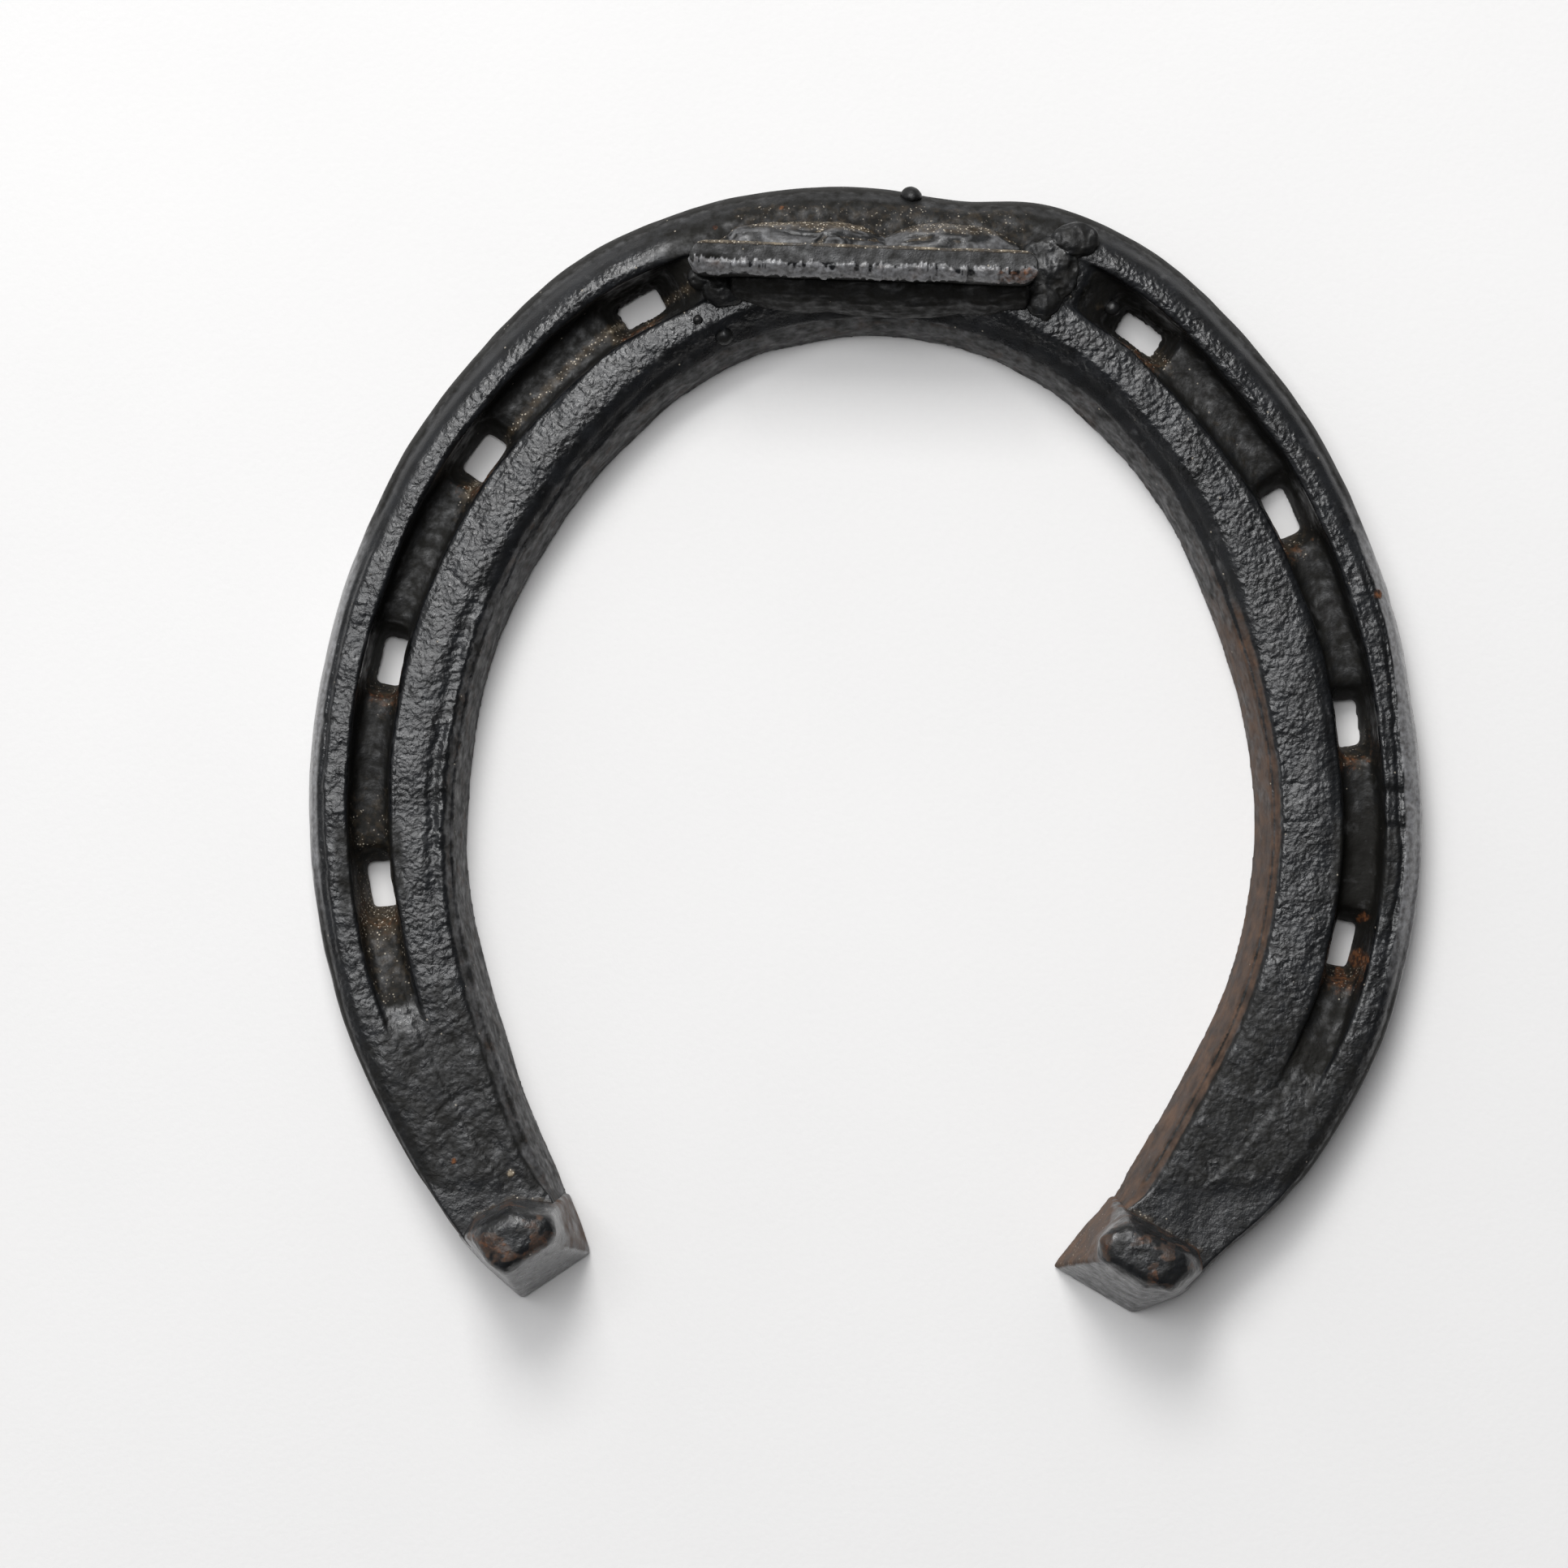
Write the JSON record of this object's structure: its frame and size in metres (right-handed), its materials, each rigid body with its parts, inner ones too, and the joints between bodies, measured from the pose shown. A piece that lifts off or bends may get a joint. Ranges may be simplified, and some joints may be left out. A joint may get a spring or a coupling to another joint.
{
  "type": "horseshoe",
  "caption": "Fullered steel horseshoe with rectangular nail holes, a bar welded across the toe and a raised calk at each heel, in worn black paint.",
  "frame": {"origin": "middle of the outline on the hoof face, which is the bottom of the object's box", "axes": "+Z from the hoof face to the ground side, +Y towards the toe, +X towards the branch with the wider heel"},
  "size_m": [0.1368, 0.1386, 0.0192],
  "materials": {
    "shoe_paint": "satin black paint over pitted steel, with dust and rust in the creases",
    "toe_bar_paint": "smooth black paint, worn bright along the lower edge",
    "calk_steel": "worn grey steel, black and rust brown on top",
    "weld_paint": "painted weld metal with tan dust in its seams"
  },
  "bodies": {
    "root": {"shoe_bar": "shoe_paint", "toe_bar": "toe_bar_paint", "heel_calk_left": "calk_steel", "heel_calk_right": "calk_steel", "weld_outer_left": "weld_paint", "weld_outer_right": "weld_paint", "weld_inner_left": "weld_paint", "weld_inner_middle": "weld_paint", "weld_inner_right": "weld_paint", "weld_end_left": "weld_paint", "weld_end_right": "weld_paint", "weld_spatter": "weld_paint"}
  },
  "joints": []
}
